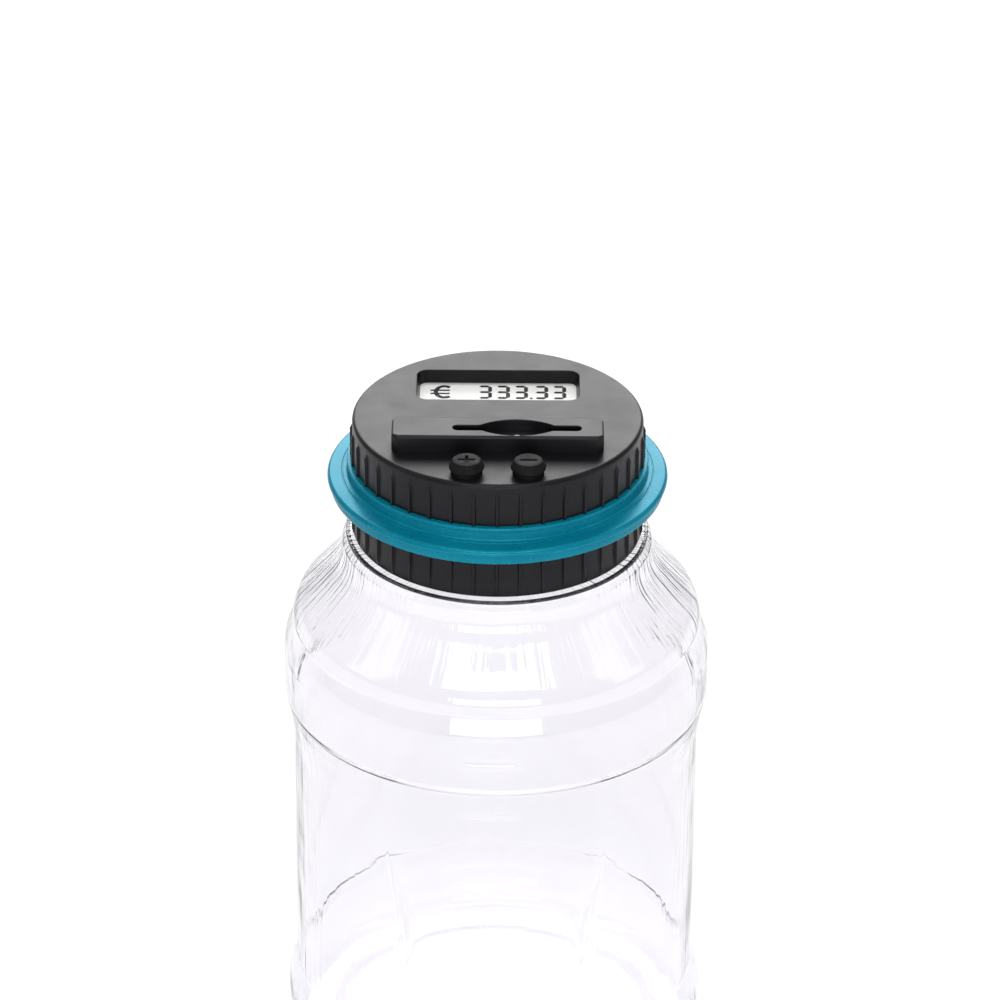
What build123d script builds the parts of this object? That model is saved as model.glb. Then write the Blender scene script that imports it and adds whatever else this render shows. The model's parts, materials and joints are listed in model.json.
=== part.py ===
from build123d import *
from math import cos, radians, sin
import os

# Digital coin counting jar: a clear jar with a two-part screw lid. The lid holds a coin counter:
# a slot with a sprung measuring lever, a small display, two rubber buttons and two AAA cells.
# Millimetres. +Z is up, the origin is the centre of the jar's foot, and the buttons face -Y.

# ---- driving dimensions ----
LID_TOP = 200.0          # height of the flat top of the lid
JAR_RADIUS = 60.0        # widest radius, at both bulged bands
BODY_RADIUS = 57.4       # radius of the straight middle
WALL = 1.0               # blow-moulded wall of the jar

LOWER_GROOVE_Z = 24.5    # top of the lower band
FLANK_LOW = 101.6        # where the upper band starts to swell
SEAM = (59.1, 112.3)     # crease line round the upper band, radius and height
CREASE_Z = 136.9         # top of the upper band, where the shoulder starts

NECK_RADIUS = 37.4       # plain neck under the thread
NECK_TOP = 176.2
BEAD_RADIUS = 42.3       # ledge under the lid
BEAD_TOP = 164.8

THREAD_LEAD = 4.233      # six turns to the inch, right-handed
THREAD_START_Z = 168.6
THREAD_TURNS = 1.25
THREAD_DEPTH = 1.1
THREAD_BASE = 1.5        # width of a ridge at its root
THREAD_CREST = 0.8

LID_RADIUS = 40.4        # lid surface between the ribs
RIB_RADIUS = 41.05
RIB_COUNT = 40
RIB_WIDTH = 0.95
COLLAR_BOTTOM = 165.1
COLLAR_TOP = 178.8
COLLAR_BORE = 38.8
WEB_THICKNESS = 2.0      # floor of the lid, on top of the collar
WEB_HOLE = 33.6

RING_TOP = 187.5
RING_NECK_RADIUS = 42.0
RING_RADIUS = 47.4       # bead at the top of the flange
RING_RIM_RADIUS = 46.5   # rim under the bead
RING_FLANGE_Z = 183.6
SPIGOT_RADIUS = 38.3
SPIGOT_BORE = 37.0

TOP_THICKNESS = 2.0
TOP_EDGE = 1.2           # round of the lid's top edge
COVER_BORE = 38.4
TOP_UNDERSIDE = LID_TOP - TOP_THICKNESS

WINDOW = (46.0, 18.1)    # display pocket at the top face
WINDOW_Y = 18.55
WINDOW_DEPTH = 3.6

BAR = (58.2, 11.6, 5.0)  # raised bar round the coin slot
BAR_Y = -15.7
BAR_WALL = 1.2
SLOT_LENGTH = 35.8
SLOT_WIDTH = 3.4
SLOT_X = 5.3
SLOT_Y = -16.3
SCOOP_LENGTH = 24.0
SCOOP_HALF_DEPTH = 4.85
SCOOP_Y = -16.1

BUTTON_X = 8.4
BUTTON_Y = -33.0
BUTTON_HOLE = 4.4
BUTTON_STEM = 4.1
BUTTON_TOP = 204.1

PLATE_TOP = 176.8        # base plate under the electronics
PLATE_THICKNESS = 1.6
PLATE_RADIUS = 35.4
PLATE_BOTTOM = PLATE_TOP - PLATE_THICKNESS

CHANNEL = (36.4, 4.2)    # coin channel through the lid
CHANNEL_X = 5.3
CHANNEL_Y = -16.3
CHUTE_WALL = 0.9
CHUTE_TOP = 199.5

LEVER_X = 5.3
LEVER_PIVOT_Z = 183.5
LEVER_TIP_Z = 201.2
LEVER_PIN_RADIUS = 1.0
LEVER_RUNNING_GAP = 0.05
LEVER_TIP_RADIUS = 2.1

CELL_RADIUS = 5.25       # AAA cells
CELL_LENGTH = 44.5
CELL_NUB = (1.9, 1.0)
CELL_YS = (4.3, 15.3)
CELL_Z = 184.1

BAY = (48.4, 22.8)       # battery bay inside
BAY_Y = 9.8
BAY_WALL = 1.4
BAY_TOP = 187.0
DOOR_OPENING = (47.2, 22.4)
DOOR_GAP = 0.3

BOARD_Z = 190.0
BOARD_THICKNESS = 1.2
KEY_BOARD_Z = 189.8
BOSSES = ((-17.5, -25.0), (17.5, -25.0), (-29.3, 8.0), (29.3, 8.0))
BOSS_RADIUS = 2.8
SCREW_RADIUS = 1.2
BOARD_POSTS = ((-26.8, 0.8), (26.8, 0.8))
KEY_POSTS = ((-15.5, -31.0), (15.5, -31.0))
POST_RADIUS = 1.8
SMALL_SCREW_RADIUS = 0.9
DOOR_SCREW_Y = 25.0

os.makedirs("parts", exist_ok=True)


def write(name, shape):
    """Write one sub-part to its own STEP file."""
    shape.label = name
    export_step(shape, f"parts/{name}.step")


def cylinder(radius, low, high, x=0.0, y=0.0):
    """Upright cylinder between two heights."""
    return Pos(x, y, (low + high) / 2) * Cylinder(radius, high - low)


def block(x_range, y_range, z_range):
    """Box between three pairs of limits."""
    size = [high - low for low, high in (x_range, y_range, z_range)]
    middle = [(high + low) / 2 for low, high in (x_range, y_range, z_range)]
    return Pos(*middle) * Box(*size)


def centred(size, x, y, z_range):
    """Box of a plan size about (x, y), between two heights."""
    half_x, half_y = size[0] / 2, size[1] / 2
    return block((x - half_x, x + half_x), (y - half_y, y + half_y), z_range)


def y_cylinder(radius, y_low, y_high, x, z):
    """Cylinder along Y between two depths."""
    return Pos(x, (y_low + y_high) / 2, z) * Rot(90, 0, 0) * Cylinder(radius, y_high - y_low)


def x_cylinder(radius, x_low, x_high, y, z):
    """Cylinder along X between two sides."""
    return Pos((x_low + x_high) / 2, y, z) * Rot(0, 90, 0) * Cylinder(radius, x_high - x_low)


def turned(points):
    """Solid of revolution of an (r, z) outline about Z."""
    outline = Polyline([(r, 0, z) for r, z in points], close=True)
    return revolve(make_face(outline), Axis.Z)


def ridge(radius, outward, start_z):
    """Helical thread ridge on a cylinder of this radius, standing outward (+1) or inward (-1)."""
    root = radius - outward * 0.25
    crest = radius + outward * THREAD_DEPTH
    helix = Helix(THREAD_LEAD, THREAD_LEAD * THREAD_TURNS, radius)
    section = Polyline([(root, 0, -THREAD_BASE / 2), (crest, 0, -THREAD_CREST / 2),
                        (crest, 0, THREAD_CREST / 2), (root, 0, THREAD_BASE / 2)], close=True)
    return Pos(0, 0, start_z) * sweep(make_face(section), path=helix, is_frenet=True)


# ---- jar ----
def jar_outline():
    """Half section of the jar's outer surface, from the foot up to the rim."""
    foot = FilletPolyline((0, 0, 5.0), (41, 0, 3.0), (49, 0, 0.0), (57.8, 0, 0.0), (JAR_RADIUS, 0, 12.0),
                          (JAR_RADIUS, 0, 17.5), (BODY_RADIUS, 0, LOWER_GROOVE_Z),
                          (BODY_RADIUS, 0, 60), radius=[20, 2.5, 6, 24, 10, 1.2])
    flank = Line((BODY_RADIUS, 0, FLANK_LOW), (SEAM[0], 0, SEAM[1]))
    band = FilletPolyline((SEAM[0], 0, SEAM[1]), (JAR_RADIUS, 0, 114.6), (JAR_RADIUS, 0, 130.5),
                          (BODY_RADIUS, 0, CREASE_Z), radius=[3, 14])
    shoulder = FilletPolyline((BODY_RADIUS, 0, CREASE_Z), (BODY_RADIUS, 0, 141.1), (51.4, 0, 147.6),
                              (43.6, 0, 156.5), (43.3, 0, 162.0), radius=[10, 40, 12])
    neck = Polyline((43.3, 0, 162.0), (BEAD_RADIUS, 0, 163.3), (BEAD_RADIUS, 0, BEAD_TOP),
                    (NECK_RADIUS, 0, BEAD_TOP), (NECK_RADIUS, 0, NECK_TOP), (0, 0, NECK_TOP))
    body = Line((BODY_RADIUS, 0, 60), (BODY_RADIUS, 0, FLANK_LOW))
    axis = Line((0, 0, NECK_TOP), (0, 0, 5.0))
    return foot + body + flank + band + shoulder + neck + axis


def grip_cutter(side, grow=0.0):
    """Spindle that dents one side of the pinch grip; grown, it dents the inside of the wall."""
    azimuth, axis_distance, widest, reach, middle_z = radians(41), 86.0, 36.0, 28.0, 60.0
    edge_x = 25.0 - grow
    narrow = axis_distance - BODY_RADIUS - 0.6
    arc = ThreePointArc((narrow + grow, 0, -reach - grow), (widest + grow, 0, 0),
                        (narrow + grow, 0, reach + grow))
    ends = Polyline((narrow + grow, 0, reach + grow), (0, 0, reach + grow), (0, 0, -reach - grow),
                    (narrow + grow, 0, -reach - grow))
    spindle = revolve(make_face(arc + ends), Axis.Z)
    spindle = Pos(side * axis_distance * sin(azimuth), -axis_distance * cos(azimuth), middle_z) * spindle
    keep = sorted((side * edge_x, side * 130.0))
    return spindle & block(keep, (-130, 0), (0, 130))


def front_rib(z, radius):
    """Short rounded rib moulded across the front of the jar, level with z."""
    section = Pos(radius - 0.45, 0, z) * Rot(90, 0, 0) * Circle(0.8)
    return Rot(0, 0, -99.1) * revolve(section, Axis.Z, 15)


def make_jar():
    half = make_face(jar_outline())
    whole = half + mirror(half, Plane.YZ)
    inner_half = offset(whole, -WALL) & Pos(100, 0, 100) * Rot(90, 0, 0) * Rectangle(200, 400)
    outer = revolve(half, Axis.Z)
    inner = revolve(inner_half, Axis.Z)
    for side in (-1, 1):
        outer -= grip_cutter(side)
        inner -= grip_cutter(side, WALL)
    inner += cylinder(NECK_RADIUS - WALL, NECK_TOP - 3, NECK_TOP + 1)
    jar = outer + ridge(NECK_RADIUS, 1, THREAD_START_Z)
    for z, radius in ((123.05, JAR_RADIUS), (105.5, 58.05), (83.0, BODY_RADIUS), (59.5, BODY_RADIUS)):
        jar += front_rib(z, radius)
    jar -= inner
    write("jar_body", jar)


# ---- lid shells ----
def ribs(low, high, rounded_at):
    """Ring of upright ribs, each with a rounded end at one height."""
    depth = RIB_RADIUS - LID_RADIUS + 0.4
    middle = RIB_RADIUS - depth / 2
    straight_low = low + RIB_WIDTH / 2 if rounded_at == "low" else low
    straight_high = high - RIB_WIDTH / 2 if rounded_at == "high" else high
    end_z = straight_low if rounded_at == "low" else straight_high
    bar = block((-RIB_WIDTH / 2, RIB_WIDTH / 2), (-middle - depth / 2, -middle + depth / 2),
                (straight_low, straight_high))
    bar += y_cylinder(RIB_WIDTH / 2, -middle - depth / 2, -middle + depth / 2, 0, end_z)
    return [Rot(0, 0, 360 * i / RIB_COUNT) * bar for i in range(RIB_COUNT)]


def lens_sketch(length, half_depth):
    """Plan outline of the finger scoop: two equal arcs."""
    radius = ((length / 2) ** 2 + half_depth ** 2) / (2 * half_depth)
    shift = radius - half_depth
    return Pos(0, shift) * Circle(radius) & Pos(0, -shift) * Circle(radius)


def make_top_cover():
    cover = cylinder(LID_RADIUS, RING_TOP, LID_TOP)
    cover = fillet(cover.edges().sort_by(Axis.Z)[-1], TOP_EDGE)
    cover += cylinder(SPIGOT_RADIUS, COLLAR_TOP, RING_TOP)
    cover -= cylinder(SPIGOT_BORE, COLLAR_TOP - 1, RING_TOP + 1)
    cover -= cylinder(COVER_BORE, RING_TOP + 1, TOP_UNDERSIDE)

    rim = centred((50.0, 21.4), 0, WINDOW_Y, (LID_TOP - WINDOW_DEPTH, TOP_UNDERSIDE + 0.1))
    cover += rim & cylinder(LID_RADIUS - 1, 190, LID_TOP)
    window = Pos(0, WINDOW_Y, LID_TOP) * RectangleRounded(*WINDOW, 3.5)
    cover -= extrude(window, amount=-WINDOW_DEPTH, taper=13)

    bar = centred(BAR[:2], 0, BAR_Y, (LID_TOP - 0.5, LID_TOP + BAR[2]))
    bar = fillet(bar.edges().filter_by(Axis.Z), 2.0)
    bar = fillet(bar.faces().sort_by(Axis.Z)[-1].edges(), 0.8)
    cover += bar
    bar_top = LID_TOP + BAR[2]
    cover -= centred((BAR[0] - 2 * BAR_WALL, BAR[1] - 2 * BAR_WALL), 0, BAR_Y,
                     (TOP_UNDERSIDE - 0.1, bar_top - BAR_WALL))
    cover -= extrude(Pos(SLOT_X, SLOT_Y, bar_top + 1) * SlotOverall(SLOT_LENGTH, SLOT_WIDTH), amount=-4)
    scoop = Pos(SLOT_X, SCOOP_Y, bar_top + 1) * lens_sketch(SCOOP_LENGTH, SCOOP_HALF_DEPTH)
    cover -= extrude(scoop, amount=-6.3)

    for side in (-1, 1):
        cover -= cylinder(BUTTON_HOLE, TOP_UNDERSIDE - 1, LID_TOP + 1, side * BUTTON_X, BUTTON_Y)
    for x, y in BOSSES:
        cover += cylinder(BOSS_RADIUS, PLATE_TOP, TOP_UNDERSIDE + 0.1, x, y)
        cover -= cylinder(SCREW_RADIUS, PLATE_TOP - 1, PLATE_TOP + 9, x, y)
    for posts, foot in ((BOARD_POSTS, BOARD_Z + BOARD_THICKNESS), (KEY_POSTS, KEY_BOARD_Z + BOARD_THICKNESS)):
        for x, y in posts:
            cover += cylinder(POST_RADIUS, foot, TOP_UNDERSIDE + 0.1, x, y)
            cover -= cylinder(SMALL_SCREW_RADIUS, foot - 1, foot + 4, x, y)
    cover = cover.fuse(*ribs(RING_TOP, LID_TOP - 3.8, "high"))
    write("top_cover", cover)


def make_trim_ring():
    bore = SPIGOT_RADIUS + 0.3
    lip = 1.1
    wall_radius = RING_NECK_RADIUS - 0.35
    outline = FilletPolyline(
        (bore, 0, COLLAR_TOP), (RING_RIM_RADIUS, 0, COLLAR_TOP), (RING_RIM_RADIUS, 0, RING_FLANGE_Z - 2.1),
        (RING_RADIUS, 0, RING_FLANGE_Z - 1.7), (RING_RADIUS, 0, RING_FLANGE_Z),
        (wall_radius + 0.2, 0, RING_FLANGE_Z), (wall_radius, 0, RING_TOP - lip),
        (RING_NECK_RADIUS, 0, RING_TOP - lip), (RING_NECK_RADIUS, 0, RING_TOP), (bore, 0, RING_TOP),
        radius=[0.7, 0.15, 0.4, 0.8, 0.5, 0.1, 0.25, 0.4])
    closing = Line((bore, 0, RING_TOP), (bore, 0, COLLAR_TOP))
    write("trim_ring", revolve(make_face(outline + closing), Axis.Z))


def make_screw_collar():
    collar = cylinder(LID_RADIUS, COLLAR_BOTTOM, COLLAR_TOP)
    collar = fillet(collar.edges().sort_by(Axis.Z)[0], 0.7)
    collar -= cylinder(COLLAR_BORE, COLLAR_BOTTOM - 1, COLLAR_TOP - WEB_THICKNESS)
    collar -= cylinder(WEB_HOLE, COLLAR_BOTTOM, COLLAR_TOP + 1)
    collar += ridge(COLLAR_BORE, -1, THREAD_START_Z - THREAD_LEAD / 2)
    collar = collar.fuse(*ribs(COLLAR_BOTTOM + 2.3, COLLAR_TOP - 0.2, "low"))
    write("screw_collar", collar)


def make_base_plate():
    plate = cylinder(PLATE_RADIUS, PLATE_BOTTOM, PLATE_TOP)
    bay_outer = (BAY[0] + 2 * BAY_WALL, BAY[1] + 2 * BAY_WALL)
    bay = centred(bay_outer, 0, BAY_Y, (PLATE_TOP - 0.1, BAY_TOP))
    plate += fillet(bay.edges().filter_by(Axis.Z), 2.5)
    plate -= centred(BAY, 0, BAY_Y, (PLATE_TOP, BAY_TOP + 1))
    plate -= centred(DOOR_OPENING, 0, BAY_Y, (PLATE_BOTTOM - 1, PLATE_TOP + 1))
    plate -= block((-4.3, 4.3), (BAY_Y + 11, DOOR_SCREW_Y + 3.8), (PLATE_BOTTOM - 1, PLATE_BOTTOM + 0.9))
    plate += cylinder(2.6, PLATE_TOP - 0.1, PLATE_TOP + 5.5, 0, DOOR_SCREW_Y)
    plate -= cylinder(SCREW_RADIUS + 0.3, PLATE_BOTTOM, PLATE_TOP + 5, 0, DOOR_SCREW_Y)
    plate -= centred(CHANNEL, CHANNEL_X, CHANNEL_Y, (PLATE_BOTTOM - 1, PLATE_TOP + 1))
    for x, y in BOSSES:
        plate -= cylinder(SCREW_RADIUS + 0.2, PLATE_BOTTOM - 1, PLATE_TOP + 1, x, y)
    for y_low, y_high in ((-26.4, -24.9), (-20.3, -19.5)):
        ear = block((LEVER_X - 3, LEVER_X + 3), (y_low, y_high), (PLATE_TOP - 0.1, LEVER_PIVOT_Z + 1.9))
        plate += ear - y_cylinder(LEVER_PIN_RADIUS, y_low - 1, y_high + 1, LEVER_X, LEVER_PIVOT_Z)
    for x in (-2.9, 9.1):
        plate += block((x, x + 2.4), (-26.8, -24.4), (PLATE_TOP - 0.1, 187.0))
    write("base_plate", plate)


def make_coin_chute():
    outer = (CHANNEL[0] + 2 * CHUTE_WALL, CHANNEL[1] + 2 * CHUTE_WALL)
    chute = centred(outer, CHANNEL_X, CHANNEL_Y, (PLATE_TOP, CHUTE_TOP))
    flange_size = (BAR[0] - 2 * BAR_WALL - 0.4, BAR[1] - 2 * BAR_WALL - 0.4)
    chute += centred(flange_size, 0, BAR_Y, (CHUTE_TOP - 1.2, CHUTE_TOP))
    chute -= centred(CHANNEL, CHANNEL_X, CHANNEL_Y, (PLATE_TOP - 1, CHUTE_TOP + 1))
    chute -= block((LEVER_X - 2.9, LEVER_X + 15.5), (-20.5, CHANNEL_Y), (185.4, CHUTE_TOP + 1))
    write("coin_chute", chute)


# ---- display ----
def make_display():
    lens = centred((48.0, 19.4), 0, WINDOW_Y + 0.35, (195.6, LID_TOP - WINDOW_DEPTH))
    write("display_lens", fillet(lens.edges().filter_by(Axis.Z), 1.0))

    panel = centred((45.4, 18.1), 0, WINDOW_Y + 0.3, (193.8, 195.5))
    write("lcd_panel", panel)

    frame = centred((48.0, 20.2), 0, WINDOW_Y + 0.15, (BOARD_Z + BOARD_THICKNESS, 195.6))
    frame -= centred((45.6, 18.3), 0, WINDOW_Y + 0.3, (BOARD_Z, 196))
    write("lcd_frame", frame)

    strips = [centred((40, 1.6), 0, y, (BOARD_Z + BOARD_THICKNESS, 193.8)) for y in (11.0, 26.7)]
    write("zebra_strips", Compound(children=strips))


# ---- boards ----
def make_circuit_board():
    z_range = (BOARD_Z, BOARD_Z + BOARD_THICKNESS)
    board = block((-24.0, 24.0), (4.0, 28.8), z_range) + block((-28.6, 28.6), (-2.5, 4.2), z_range)
    for x, y in BOARD_POSTS:
        board -= cylinder(SMALL_SCREW_RADIUS, BOARD_Z - 1, BOARD_Z + 3, x, y)
    write("circuit_board", board)

    top = BOARD_Z + BOARD_THICKNESS
    blob = Pos(-6, 2.6, top) * Sphere(4.6) & block((-11, -1), (-2.1, 7.3), (top, top + 1.5))
    crystal = centred((7.0, 2.4), 8.5, 5.6, (top, top + 2.4))
    crystal = fillet(crystal.edges().filter_by(Axis.Z), 1.1)
    capacitors = [cylinder(2.0, top, top + 4.6, x, 4.6) for x in (15.6, 20.4)]
    resistors = [centred((1.6, 0.8), x, 0.2, (top, top + 0.6)) for x in (2.5, 5.5, 8.5, 11.5, 14.5, 17.5)]
    resistors += [centred((1.6, 0.8), x, 0.2, (top, top + 0.6)) for x in (-21.5, -18.5, -15.5)]
    write("board_components", Compound(children=[blob, crystal] + capacitors + resistors))


def make_key_board():
    z_range = (KEY_BOARD_Z, KEY_BOARD_Z + BOARD_THICKNESS)
    board = block((-17.6, 17.6), (-36.5, -29.2), z_range) + block((-12, 12), (-29.3, -27.3), z_range)
    board &= cylinder(37.6, KEY_BOARD_Z, KEY_BOARD_Z + BOARD_THICKNESS)
    for x, y in KEY_POSTS:
        board -= cylinder(SMALL_SCREW_RADIUS, KEY_BOARD_Z - 1, KEY_BOARD_Z + 3, x, y)
    write("key_board", board)

    sensor = block((-2.9, 12.7), (-26.2, -25.0), (187.0, 196.4))
    write("sensor_board", sensor)

    top = KEY_BOARD_Z + BOARD_THICKNESS
    pads = []
    for side in (-1, 1):
        for shift in (-1.3, 1.3):
            pads.append(centred((2.0, 3.6), side * BUTTON_X + shift, BUTTON_Y, (top, top + 0.1)))
    for i in range(5):
        x = LEVER_X - 1.0 + 1.75 * i
        pads.append(block((x - 0.6, x + 0.6), (-25.0, -24.9), (190.0 - 0.12 * i * i, 194.2 - 0.12 * i * i)))
    write("contact_pads", Compound(children=pads))


# ---- coin lever ----
def make_coin_lever():
    y_front, y_back = -23.1, -20.6
    half_width = 1.6
    x_range = (LEVER_X - half_width, LEVER_X + half_width)
    hub = y_cylinder(3.0, y_front, y_back, LEVER_X, LEVER_PIVOT_Z)
    lever = hub + block(x_range, (y_front, y_back), (LEVER_PIVOT_Z, 190.4))
    lever += block(x_range, (y_front, -18.8), (188.0, 190.4))
    lever += block(x_range, (-20.0, -18.8), (188.0, LEVER_TIP_Z))
    lever += y_cylinder(LEVER_TIP_RADIUS, -20.0, -17.4, LEVER_X, LEVER_TIP_Z)
    dome = Pos(LEVER_X, -17.4, LEVER_TIP_Z) * Sphere(LEVER_TIP_RADIUS)
    lever += dome & block((LEVER_X - 3, LEVER_X + 3), (-17.5, -15.2), (190, 210))
    lever -= y_cylinder(LEVER_PIN_RADIUS + LEVER_RUNNING_GAP, -24, -20, LEVER_X, LEVER_PIVOT_Z)
    write("coin_lever", lever)

    pin = y_cylinder(LEVER_PIN_RADIUS, -26.4, -19.5, LEVER_X, LEVER_PIVOT_Z)
    write("lever_pivot_pin", pin)

    foot = block((LEVER_X - 1.1, LEVER_X + 1.1), (-23.3, y_front), (187.0, 189.8))
    blade_path = Polyline((0, -23.3, 189.4), (0, -24.7, 191.6), (0, -24.7, 192.8), (0, -24.45, 193.4),
                          (0, -24.3, 193.4), (0, -24.52, 192.8), (0, -24.52, 191.7), (0, -23.3, 189.8),
                          close=True)
    blade = extrude(make_face(blade_path), amount=1.6)
    write("lever_wiper", foot + Pos(LEVER_X - blade.center().X, 0, 0) * blade)


def coil(radius, wire, pitch, turns):
    """Helical spring wire about Z, starting at z = 0."""
    helix = Helix(pitch, pitch * turns, radius)
    section = Plane(origin=helix @ 0, z_dir=helix % 0) * Circle(wire)
    return sweep(section, path=helix, is_frenet=True)


def make_lever_spring():
    """Torsion spring on the pivot pin: two turns with a straight leg at each end."""
    radius, wire, pitch, turns = 1.8, 0.18, 0.42, 2
    helix = Helix(pitch, pitch * turns, radius)
    lower_leg = Line(helix @ 0 - helix % 0 * 6.2, helix @ 0)
    upper_leg = Line(helix @ 1, helix @ 1 + helix % 1 * 4.8)
    section = Plane(origin=lower_leg @ 0, z_dir=lower_leg % 0) * Circle(wire)
    spring = sweep(section, path=Wire([lower_leg, helix, upper_leg]))
    write("lever_spring", Pos(LEVER_X, -23.6, LEVER_PIVOT_Z) * Rot(90, 0, 0) * spring)


# ---- power ----
def make_cells():
    for number, (y, nub_side) in enumerate(zip(CELL_YS, (1, -1)), start=1):
        half = CELL_LENGTH / 2
        can_end = half - CELL_NUB[1]
        low, high = (-half, can_end) if nub_side == 1 else (-can_end, half)
        can = fillet(x_cylinder(CELL_RADIUS, low, high, y, CELL_Z).edges().filter_by(GeomType.CIRCLE), 0.4)
        nub = sorted((nub_side * (can_end - 0.1), nub_side * half))
        write(f"battery_{number}", can + x_cylinder(CELL_NUB[0], *nub, y, CELL_Z))

    plates, springs = [], []
    for y, nub_side in zip(CELL_YS, (1, -1)):
        for side in (-1, 1):
            wall = side * BAY[0] / 2
            x_range = sorted((wall, wall - side * 0.4))
            plates.append(block(x_range, (y - 4.4, y + 4.4), (179.5, BAY_TOP + 1.2)))
            if side == nub_side:
                contact = sorted((wall - side * 0.4, side * CELL_LENGTH / 2 + side * 0.02))
                plates[-1] += x_cylinder(1.5, *contact, y, CELL_Z)
        spring_start = -nub_side * (BAY[0] / 2 - 0.73)
        springs.append(Pos(spring_start, y, CELL_Z) * Rot(0, 90 * nub_side, 0) * coil(2.9, 0.28, 0.56, 1.6))
    write("battery_contacts", Compound(children=plates))
    write("battery_springs", Compound(children=springs))


def pan_screw(head_radius, head_height, shaft_radius, length):
    """Screw pointing up +Z, with the underside of its head at z = 0 and a cross recess below."""
    head = Pos(0, 0, -head_height / 2) * Cylinder(head_radius, head_height)
    head = fillet(head.edges().sort_by(Axis.Z)[0], head_height * 0.45)
    arm = head_radius * 1.1
    for size in ((arm, head_radius * 0.26), (head_radius * 0.26, arm)):
        head -= Pos(0, 0, -head_height) * Box(*size, head_height)
    shaft = Pos(0, 0, length / 2) * Cylinder(shaft_radius, length)
    return head + chamfer(shaft.edges().sort_by(Axis.Z)[-1], shaft_radius * 0.5)


def make_fasteners():
    long_screw = pan_screw(2.4, 1.5, SCREW_RADIUS, 10.4)
    write("assembly_screws", Compound(children=[Pos(x, y, PLATE_BOTTOM) * long_screw for x, y in BOSSES]))
    short_screw = pan_screw(1.7, 1.0, SMALL_SCREW_RADIUS, 5.0)
    screws = [Pos(x, y, BOARD_Z) * short_screw for x, y in BOARD_POSTS]
    screws += [Pos(x, y, KEY_BOARD_Z) * short_screw for x, y in KEY_POSTS]
    write("board_screws", Compound(children=screws))


def make_battery_door():
    size = [length - 2 * DOOR_GAP for length in DOOR_OPENING]
    door = centred(size, 0, BAY_Y, (PLATE_BOTTOM, PLATE_TOP - 0.2))
    tab_range = (BAY_Y + size[1] / 2 - 0.1, DOOR_SCREW_Y + 3.5)
    tab = block((-4.0, 4.0), tab_range, (PLATE_BOTTOM, PLATE_BOTTOM + 0.6))
    door += fillet(tab.edges().filter_by(Axis.Z).sort_by(Axis.Y)[-2:], 2.0)
    door -= cylinder(SCREW_RADIUS, PLATE_BOTTOM - 1, PLATE_TOP, 0, DOOR_SCREW_Y)
    for i in range(5):
        y = BAY_Y - 5 + 2.5 * i
        door -= block((-9, 9), (y - 0.5, y + 0.5), (PLATE_BOTTOM - 0.1, PLATE_BOTTOM + 0.4))
    write("battery_door", door)
    write("battery_door_screw", Pos(0, DOOR_SCREW_Y, PLATE_BOTTOM) * pan_screw(2.2, 1.3, SCREW_RADIUS, 5.6))


def make_lead_wires():
    """Two insulated wires from the circuit board round the chute to the key board."""
    wire_radius, high_z = 0.45, 194.4
    wires = []
    for step in (0, 1):
        shift = 1.4 * step
        board_end = (-27.2 + shift, -1.9 + 0.2 * step)
        key_end = (-10.6 + shift, -28.3)
        path = FilletPolyline(
            (*board_end, BOARD_Z + BOARD_THICKNESS), (*board_end, high_z),
            (-26.6 + shift, -12.5, high_z + 0.6), (-21.4 + shift, -19.2, high_z),
            (-12.4 + shift, -22.7, high_z - 0.3),
            (*key_end, high_z - 0.2), (*key_end, KEY_BOARD_Z + BOARD_THICKNESS),
            radius=[1.2, 3.0, 3.0, 2.0, 0.8])
        section = Plane(origin=path @ 0, z_dir=path % 0) * Circle(wire_radius)
        wires.append(sweep(section, path=path))
    write("lead_wires", Compound(children=wires))


# ---- buttons ----
def make_button(name, side, strokes):
    top = BUTTON_TOP
    body = turned([(0, top), (3.6, top), (3.9, top - 0.3), (4.5, top - 1.2), (4.85, top - 2.0),
                   (4.75, top - 2.55), (4.35, top - 2.9), (BUTTON_STEM, top - 3.05), (BUTTON_STEM, 196.8),
                   (2.3, 195.2), (2.0, 192.2), (0, 192.2)])
    for size in strokes:
        body -= Pos(0, 0, top) * Box(*size, 1.4)
    write(name, Pos(side * BUTTON_X, BUTTON_Y, 0) * body)


def make_buttons():
    long, thick = 4.9, 1.05
    make_button("plus_button", -1, [(long, thick), (thick, long)])
    make_button("minus_button", 1, [(long, thick)])


make_jar()
make_top_cover()
make_trim_ring()
make_screw_collar()
make_base_plate()
make_coin_chute()
make_display()
make_circuit_board()
make_key_board()
make_coin_lever()
make_lever_spring()
make_cells()
make_fasteners()
make_battery_door()
make_lead_wires()
make_buttons()
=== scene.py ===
import json
import math

import bmesh
import bpy
import numpy as np
from mathutils import Matrix, Vector


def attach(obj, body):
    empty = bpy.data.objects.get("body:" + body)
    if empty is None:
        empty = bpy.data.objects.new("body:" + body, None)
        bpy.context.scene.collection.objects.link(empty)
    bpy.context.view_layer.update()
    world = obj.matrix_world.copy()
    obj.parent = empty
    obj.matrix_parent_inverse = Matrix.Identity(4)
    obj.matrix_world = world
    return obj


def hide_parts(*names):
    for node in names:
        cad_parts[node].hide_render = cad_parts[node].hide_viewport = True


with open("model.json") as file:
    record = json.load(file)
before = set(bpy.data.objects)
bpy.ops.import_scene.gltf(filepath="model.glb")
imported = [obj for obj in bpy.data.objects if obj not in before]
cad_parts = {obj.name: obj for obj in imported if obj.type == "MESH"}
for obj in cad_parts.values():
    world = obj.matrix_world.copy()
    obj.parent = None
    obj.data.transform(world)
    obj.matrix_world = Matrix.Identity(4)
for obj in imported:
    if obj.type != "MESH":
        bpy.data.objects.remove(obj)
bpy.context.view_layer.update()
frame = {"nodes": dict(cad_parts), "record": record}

# A digital coin counting jar: a clear moulded jar, a teal grip ring and a ribbed black lid with a display,
# a coin slot and two buttons. Lengths below are in millimetres and become metres as the meshes are made.
# +Z is up and the buttons face -Y.
MM = 0.001
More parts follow.
